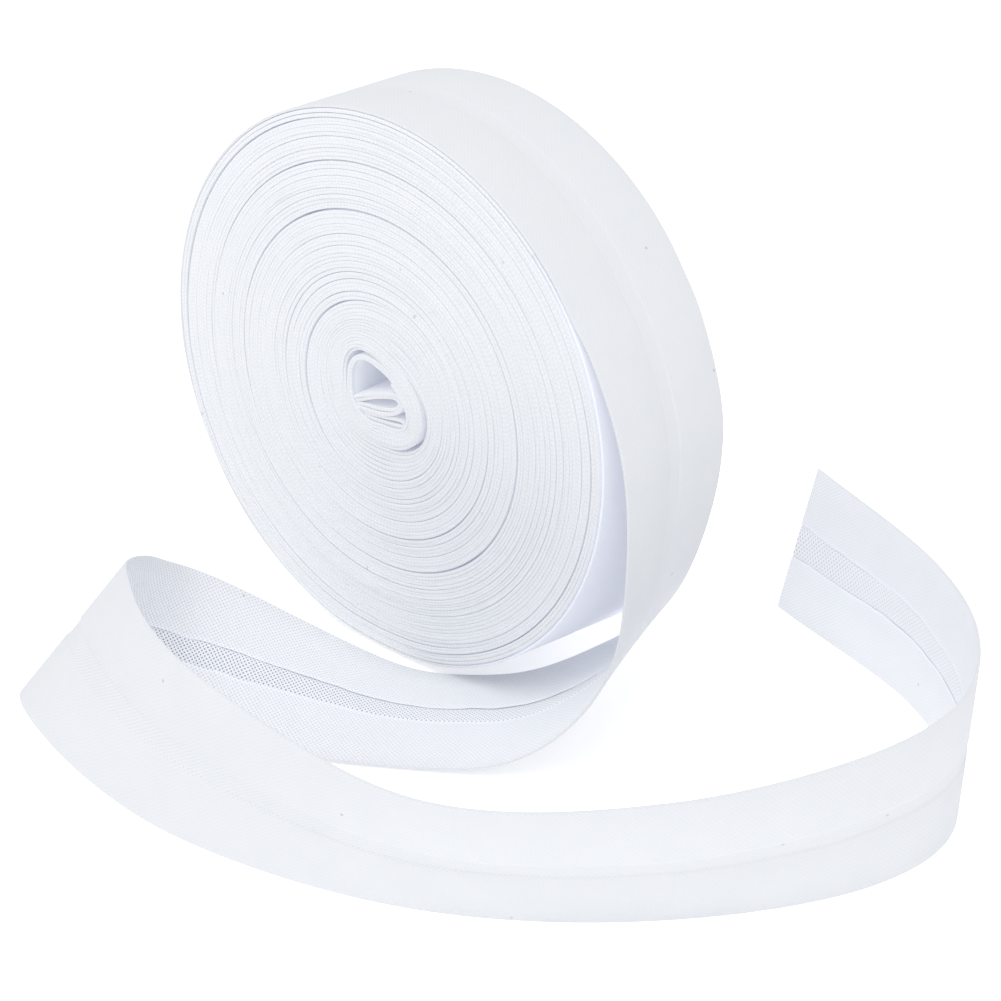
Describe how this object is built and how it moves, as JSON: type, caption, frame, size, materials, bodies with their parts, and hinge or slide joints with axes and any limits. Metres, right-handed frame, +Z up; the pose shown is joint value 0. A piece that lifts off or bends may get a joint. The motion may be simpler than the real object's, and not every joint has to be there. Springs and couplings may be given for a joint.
{
  "type": "roll of bias tape",
  "caption": "Coreless roll of folded white bias tape standing on edge, its outer end pulled off and looped in front to a straight cut end.",
  "frame": {"origin": "middle of the small flat spot under the roll, on the surface that it stands on", "axes": "+Z up, +Y along the roll's axis from the showing face to the back face, +X to the right of the showing face, where the outer turn comes off"},
  "size_m": [0.1403, 0.1167, 0.0893],
  "materials": {
    "cloth": "white plain-weave cotton cut on the bias, matt"
  },
  "bodies": {
    "root": {"wound_roll": "cloth", "loose_tape": "cloth"}
  },
  "joints": []
}
